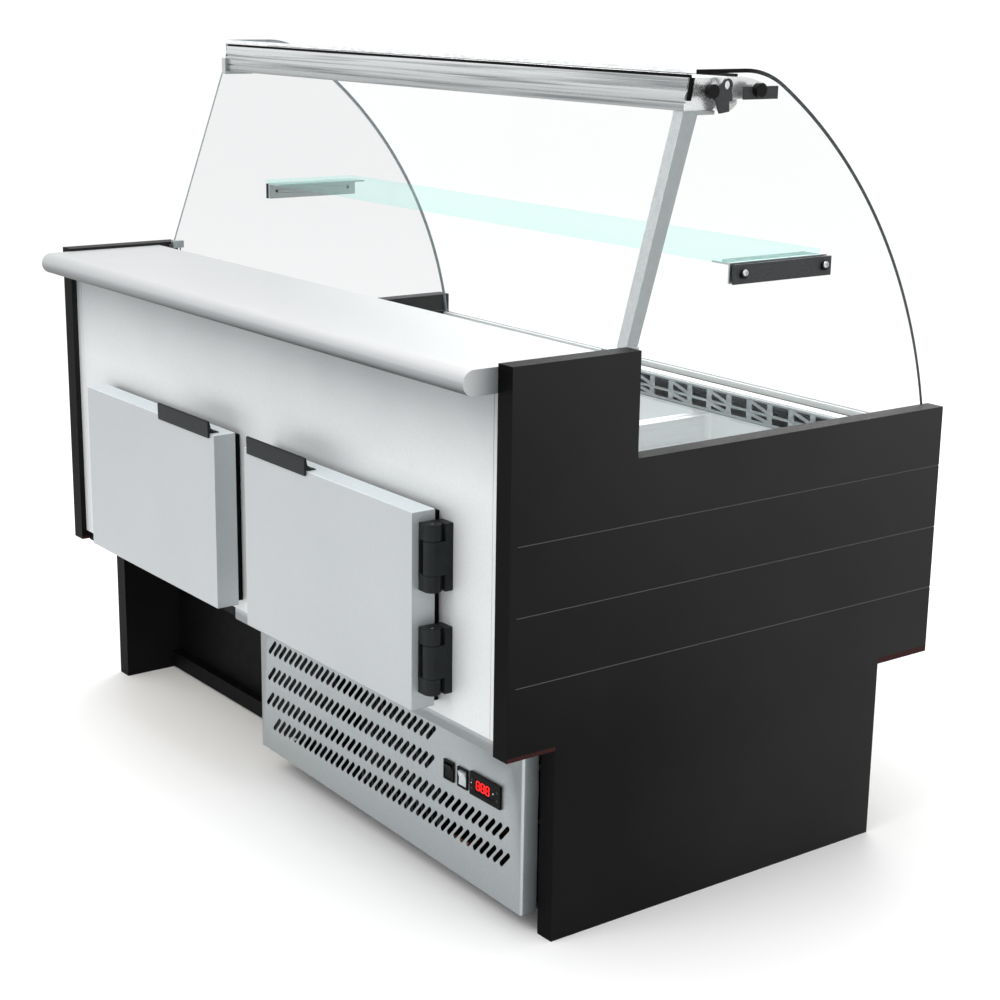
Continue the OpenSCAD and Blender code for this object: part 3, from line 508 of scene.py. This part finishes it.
# The base tray is painted near black so its edge reads as the line of shade under the machine cover, painted
# shade.
TRAY_SHADE = moulded("tray_shade", (0.010, 0.010, 0.010), 0.5, 0.002, 0.2, 0.1)
CLAMP_BLACK = clamp_black()
CLEAR_PLASTIC = moulded("clear_plastic", (0.42, 0.44, 0.45), 0.22, 0.001, 0.05, 0.4)
KEY_PLASTIC = moulded("key_plastic", (0.016, 0.016, 0.017), 0.45, 0.0008, 0.2, 0.15)
WHITE_MARK = moulded("white_mark", (0.80, 0.80, 0.79), 0.5, 0.0008, 0.1, 0.4)
COMPRESSOR = moulded("compressor_paint", (0.012, 0.012, 0.013), 0.3, 0.004, 0.2, 0.5)
COIL = fins("coil_fins", (0.62, 0.64, 0.65))
# The condenser's fins are painted near black, painted shade behind the slots of the machine cover.
CONDENSER_SHADE = fins("condenser_shade", (0.010, 0.010, 0.011))
# The condenser shroud is painted near black, painted shade inside the machine cover.
SHROUD_SHADE = moulded("shroud_shade", (0.006, 0.006, 0.007), 0.5, 0.002, 0.15, 0.06)
PALE_ALUMINIUM = brushed("pale_aluminium", (0.80, 0.81, 0.815), 0.45, GRAIN_X, 0.03, 0.02, 0.2)
COPPER = copper()
FOAM = foam()
LAMP = glow("lamp_diffuser", (0.93, 0.93, 0.90), 0.05)
DIGITS = glow("digits", (1.0, 0.001, 0.0005), 0.75)
GLASS = clear_pane("clear_glass", (0.985, 0.988, 0.988), 0.008)
NEAR_GLASS = clear_pane("near_side_glass", (0.996, 0.997, 0.997), 0.006)
# The far pane is a greyer copy of the same glass, painted shade.
FAR_GLASS = clear_pane("far_side_glass", (0.925, 0.927, 0.930), 0.01)
AQUA_GLASS = clear_pane("aqua_glass", (0.885, 0.995, 0.975), 0.03)
TOP_RIM = polished_rim("top_rim", (0.70, 0.72, 0.73))
# The far rims are a darker copy of the same polished edge, painted shade.
FAR_RIM = polished_rim("far_rim", (0.20, 0.23, 0.24), 0.1)
SEALED_RIM = sealed_rim("sealed_rim")

FINISH = {
    "end_panel_right": LAMINATE, "end_panel_left": LAMINATE, "front_fascia": LAMINATE,
    "front_kick": LAMINATE, "recess_lining": RECESS_SHADE_SHEET, "base_frame": GALVANISED,
    "base_tray": TRAY_SHADE, "condenser_shroud": SHROUD_SHADE, "service_wall": WALL_STEEL,
    "worktop": TOP_STEEL, "rear_duct": INNER_STEEL, "tank_liner": INNER_STEEL,
    "deck_frame": INNER_STEEL, "door_right": DOOR_STEEL, "door_left": DOOR_STEEL,
    "evaporator_fan_plate": INNER_STEEL, "drip_tray": INNER_STEEL, "storage_rack": INNER_STEEL,
    "shelf_brackets": POST, "hinge_pins": ZINC, "deck_pan_1": PAN_STEEL,
    "deck_pan_2": PAN_STEEL, "deck_pan_3": PAN_STEEL, "deck_pan_4": PAN_STEEL,
    "air_grille": GRILLE_STEEL, "machine_cover": COVER_STEEL, "tank_insulation": FOAM,
    "door_gasket_right": RUBBER, "door_gasket_left": RUBBER, "glass_seals": RUBBER,
    "door_handle_right": DARK_PLASTIC, "door_handle_left": DARK_PLASTIC,
    "hinge_leaves_right": DARK_PLASTIC, "hinge_leaves_left": DARK_PLASTIC,
    "hinge_brackets": DARK_PLASTIC, "glass_fixings": CLAMP_BLACK, "cable_gland": DARK_PLASTIC,
    "condenser_fan": DARK_PLASTIC, "evaporator_fan": DARK_PLASTIC, "controller": BLACK_PLASTIC,
    "switch_frames": BLACK_PLASTIC, "switch_rocker_1": BLACK_PLASTIC,
    "switch_rocker_2": CLEAR_PLASTIC, "controller_key_1": KEY_PLASTIC,
    "controller_key_2": KEY_PLASTIC, "controller_key_3": KEY_PLASTIC,
    "controller_key_4": KEY_PLASTIC, "compressor": COMPRESSOR, "condenser_fan_motor": COMPRESSOR,
    "condenser": CONDENSER_SHADE, "evaporator": COIL, "pipework": COPPER, "canopy_profile": CANOPY,
    "posts": POST, "glass_hinge_leaf": PALE_ALUMINIUM, "glass_hinge_base": PALE_ALUMINIUM,
    "canopy_lamp": LAMP, "side_glass": NEAR_GLASS, "front_glass": GLASS, "shelf_glass": AQUA_GLASS,
}
# Radius of the rounded edge of each kind of piece
EDGE = {
    "end_panel_right": 0.25, "end_panel_left": 0.25, "front_fascia": 0.6, "front_kick": 0.6,
    "service_wall": 0.5, "worktop": 0.6, "door_right": 2.2, "door_left": 2.2,
    "door_handle_right": 2.0, "door_handle_left": 2.0, "hinge_leaves_right": 1.2,
    "hinge_leaves_left": 1.2, "hinge_brackets": 1.6, "controller": 0.7, "switch_frames": 0.8,
    "switch_rocker_1": 0.6, "switch_rocker_2": 0.6, "posts": 0.7, "shelf_glass": 0.8,
    "shelf_brackets": 0.4, "glass_fixings": 0.8, "compressor": 2.0, "recess_lining": 0.4,
    "deck_pan_1": 0.35, "deck_pan_2": 0.35, "deck_pan_3": 0.35, "deck_pan_4": 0.35,
    "canopy_profile": 0.3, "glass_hinge_leaf": 0.4, "glass_hinge_base": 0.5, "cable_gland": 0.8,
    "base_frame": 0.8, "condenser_fan_motor": 0.8, "tank_liner": 0.3,
}


def finish_node(name):
    """Gives a CAD node its material and softens its edges without touching its mesh's points."""
    o = nodes[name]
    o.data.materials.clear()
    o.data.materials.append(FINISH[name])
    for face in o.data.polygons:
        face.use_smooth = True
    weld = o.modifiers.new("weld", "WELD")
    weld.merge_threshold = 0.00002
    if name in EDGE:
        bevel = o.modifiers.new("edges", "BEVEL")
        bevel.width = EDGE[name] * MM
        bevel.segments = 2
        bevel.limit_method = "ANGLE"
        bevel.angle_limit = math.radians(35)
        bevel.use_clamp_overlap = True
    o.modifiers.new("normals", "WEIGHTED_NORMAL").keep_sharp = True


# ---------------------------------------------------------------- mesh helpers
def add_piece(name, mesh_data, body, slot, *materials, smooth=40):
    """Makes an object from a bmesh, shades it smooth below an angle and fixes it to a body."""
    mesh = bpy.data.meshes.new(name)
    bmesh.ops.recalc_face_normals(mesh_data, faces=mesh_data.faces)
    mesh_data.to_mesh(mesh)
    mesh_data.free()
    for m in materials:
        mesh.materials.append(m)
    for face in mesh.polygons:
        face.use_smooth = True
    mesh.set_sharp_from_angle(angle=math.radians(smooth))
    o = bpy.data.objects.new(name, mesh)
    bpy.context.scene.collection.objects.link(o)
    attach(o, body)
    return o


def prism(b, outline, x0, x1, rim=1, cap=0, ends=None):
    """Extrudes a closed (y, z) outline along X. Side faces take rim, the two ends take cap."""
    sides = [[b.verts.new((x, y, z)) for y, z in outline] for x in (x0, x1)]
    count = len(outline)
    for i in range(count):
        j = (i + 1) % count
        f = b.faces.new((sides[0][i], sides[0][j], sides[1][j], sides[1][i]))
        f.material_index = rim if ends is None else ends(i)
    for side in sides:
        b.faces.new(side).material_index = cap


def lathe(b, centre, axis, profile, steps=24, wobble=None):
    """Turns (radius, height) points about an axis through centre; closes both ends."""
    turn = Vector((0, 0, 1)).rotation_difference(Vector(axis)).to_matrix()
    rings = []
    for radius, height in profile:
        ring = []
        for i in range(steps):
            a = 2 * math.pi * i / steps
            r = radius * (wobble(a, radius) if wobble else 1)
            point = Vector((r * math.cos(a), r * math.sin(a), height))
            ring.append(b.verts.new(Vector(centre) + turn @ point))
        rings.append(ring)
    for low, high in zip(rings, rings[1:]):
        for i in range(steps):
            j = (i + 1) % steps
            b.faces.new((low[i], low[j], high[j], high[i]))
    b.faces.new(rings[0])
    b.faces.new(rings[-1])


def cap_screw(b, centre, axis, radius, height):
    """Domed screw head with a hexagon socket."""
    def hexagon(a, r):
        if r > radius * 0.55:
            return 1
        part = (a % (math.pi / 3)) - math.pi / 6
        return 1 / math.cos(part)
    lathe(b, centre, axis, [
        (radius, 0), (radius, height * 0.45), (radius * 0.93, height * 0.75), (radius * 0.74, height),
        (radius * 0.50, height), (radius * 0.48, height * 0.9), (radius * 0.48, height * 0.35)], 36, hexagon)


def arc_points(y, z, r, start, end, steps):
    """Points on an arc; angles in degrees from straight up towards the customer."""
    turns = [math.radians(start + (end - start) * i / steps) for i in range(steps + 1)]
    return [(y + r * math.sin(t), z + r * math.cos(t)) for t in turns]


# ---------------------------------------------------------------- glass
BEND_R, BEND_ANGLE, SWEEP_R, GLASS_T = 0.150, 33.0, 0.830, 0.006
BEND_START = 0.098
SIDE_GAP = 0.001
SEAT_STEP, TOP_GAP, HEAD_RUN, HEAD_DROP = 0.014, 0.004, 0.130, 0.026


def glass_profile(inset, foot, flat_start):
    """The curved glass from the canopy down to foot, inset from its outer face."""
    low, high = corners("front_glass")
    bend_y = low.y + BEND_START
    bend_z = high.z - BEND_R
    lean = math.radians(BEND_ANGLE)
    sweep_y = bend_y + (BEND_R - SWEEP_R) * math.sin(lean)
    sweep_z = bend_z + (BEND_R - SWEEP_R) * math.cos(lean)
    foot_angle = math.degrees(math.acos((foot - sweep_z) / (SWEEP_R - inset)))
    return ([(flat_start, high.z - inset)]
            + arc_points(bend_y, bend_z, BEND_R - inset, 0, BEND_ANGLE, 16)
            + arc_points(sweep_y, sweep_z, SWEEP_R - inset, BEND_ANGLE, foot_angle, 72)[1:])


def add_front_glass():
    """The curved pane with its own material on the cut edges, which end at the canopy and the foot."""
    low, high = corners("front_glass")
    outer = glass_profile(0, low.z, low.y)
    inner = glass_profile(GLASS_T, low.z, low.y)[::-1]
    turns = (len(outer) - 1, len(outer) + len(inner) - 1)
    b = bmesh.new()
    prism(b, outer + inner, low.x, high.x, cap=1, ends=lambda i: 1 if i in turns else 0)
    for face in b.faces:
        if len(face.verts) > 4:
            face.material_index = 2 if face.calc_center_median().x > 0 else 3
    pane = add_piece("front_glass_pane", b, "tilting_glass", "clear_glass",
                     GLASS, TOP_RIM, SEALED_RIM, FAR_RIM)
    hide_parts("front_glass")


def add_side_glass():
    """Both flat end panes, with the notch that seats on the worktop."""
    low, high = corners("side_glass")
    top = glass_profile(GLASS_T + SIDE_GAP, low.z, low.y + HEAD_RUN)
    seat_z = corners("worktop")[1].z + TOP_GAP
    outline = [(low.y + SEAT_STEP, low.z), (low.y + SEAT_STEP, seat_z), (low.y, seat_z),
               (low.y + HEAD_RUN, high.z - HEAD_DROP)] + top
    for side, name, glass, rim in ((1, "right", NEAR_GLASS, NEAR_GLASS), (-1, "left", FAR_GLASS, FAR_RIM)):
        b = bmesh.new()
        prism(b, outline, side * (high.x - GLASS_T), side * high.x, rim=1, cap=0)
        pane = add_piece(f"side_glass_pane_{name}", b, "cabinet", "clear_glass", glass, rim)
        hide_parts("side_glass")


# ---------------------------------------------------------------- controls
def ring_stroke(b, x, y, z, width, height, side, bar, thick):
    """A rounded square ring that stands in the XZ plane, with heavier sides than bars."""
    steps = 24
    loops = []
    for inset in (0, 1):
        loop = []
        for i in range(steps):
            a = 2 * math.pi * i / steps
            c, s = math.cos(a), math.sin(a)
            power = 0.62
            px = math.copysign(abs(c) ** power, c) * (width / 2 - inset * side)
            pz = math.copysign(abs(s) ** power, s) * (height / 2 - inset * bar)
            loop.append((x + px, z + pz))
        loops.append(loop)
    verts = [[[b.verts.new((px, yy, pz)) for px, pz in loop] for loop in loops] for yy in (y, y + thick)]
    for i in range(steps):
        j = (i + 1) % steps
        for layer in verts:
            b.faces.new((layer[0][i], layer[0][j], layer[1][j], layer[1][i]))
        for k in (0, 1):
            b.faces.new((verts[0][k][i], verts[0][k][j], verts[1][k][j], verts[1][k][i]))


DISPLAY_MARKS = ((0.0045, 0.0002), (0.0605, 0.0008))
DISPLAY_AT, DIGIT_STAND = 0.43, 0.0003


def add_display():
    """Generic digits and two white marks on the thermostat."""
    low, high = corners("controller")
    face = low.y
    b = bmesh.new()
    digit_w, digit_h, pitch, side, bar = 0.0104, 0.0158, 0.0124, 0.0022, 0.0014
    middle_x = low.x + DISPLAY_AT * (high.x - low.x)
    middle_z = (low.z + high.z) / 2 + 0.001
    for i in (-1, 0, 1):
        for k in (-1, 1):
            ring_stroke(b, middle_x + i * pitch, face + DIGIT_STAND, middle_z + k * (digit_h - bar) / 4,
                        digit_w, (digit_h + bar) / 2, side, bar, 0.0006)
    add_piece("display_digits", b, "cabinet", "key_plastic", DIGITS)
    b = bmesh.new()
    for along, depth in DISPLAY_MARKS:
        lathe(b, (low.x + along, face + depth, middle_z), (0, -1, 0),
              [(0.0012, -0.0004), (0.0012, 0.0001), (0.0008, 0.0004)], 16)
    add_piece("display_marks", b, "cabinet", "key_plastic", WHITE_MARK)


# ---------------------------------------------------------------- shelf bolts
# How far the clamp knobs and the bases of the shelf bolts stand off the glass
KNOB_REACH, BOLT_REACH = 0.014, 0.009
BOLT_RADIUS, BOLT_HEIGHT, BOLT_INSET = 0.0052, 0.0035, 0.018


def add_shelf_bolts():
    """Bright domed bolts on the black plates that carry the glass shelf."""
    outer = corners("glass_fixings")[1].x
    bracket_low, bracket_high = corners("shelf_brackets")
    face = outer - KNOB_REACH + BOLT_REACH
    b = bmesh.new()
    for side in (-1, 1):
        for y in (bracket_low.y + BOLT_INSET, bracket_high.y - BOLT_INSET):
            cap_screw(b, (side * face, y, bracket_high.z - 0.014), (side, 0, 0), BOLT_RADIUS, BOLT_HEIGHT)
    add_piece("shelf_bolts", b, "cabinet", "stainless", ZINC)


for node_name in nodes:
    finish_node(node_name)
add_camera()
add_studio()
add_front_glass()
add_side_glass()
add_display()
add_shelf_bolts()
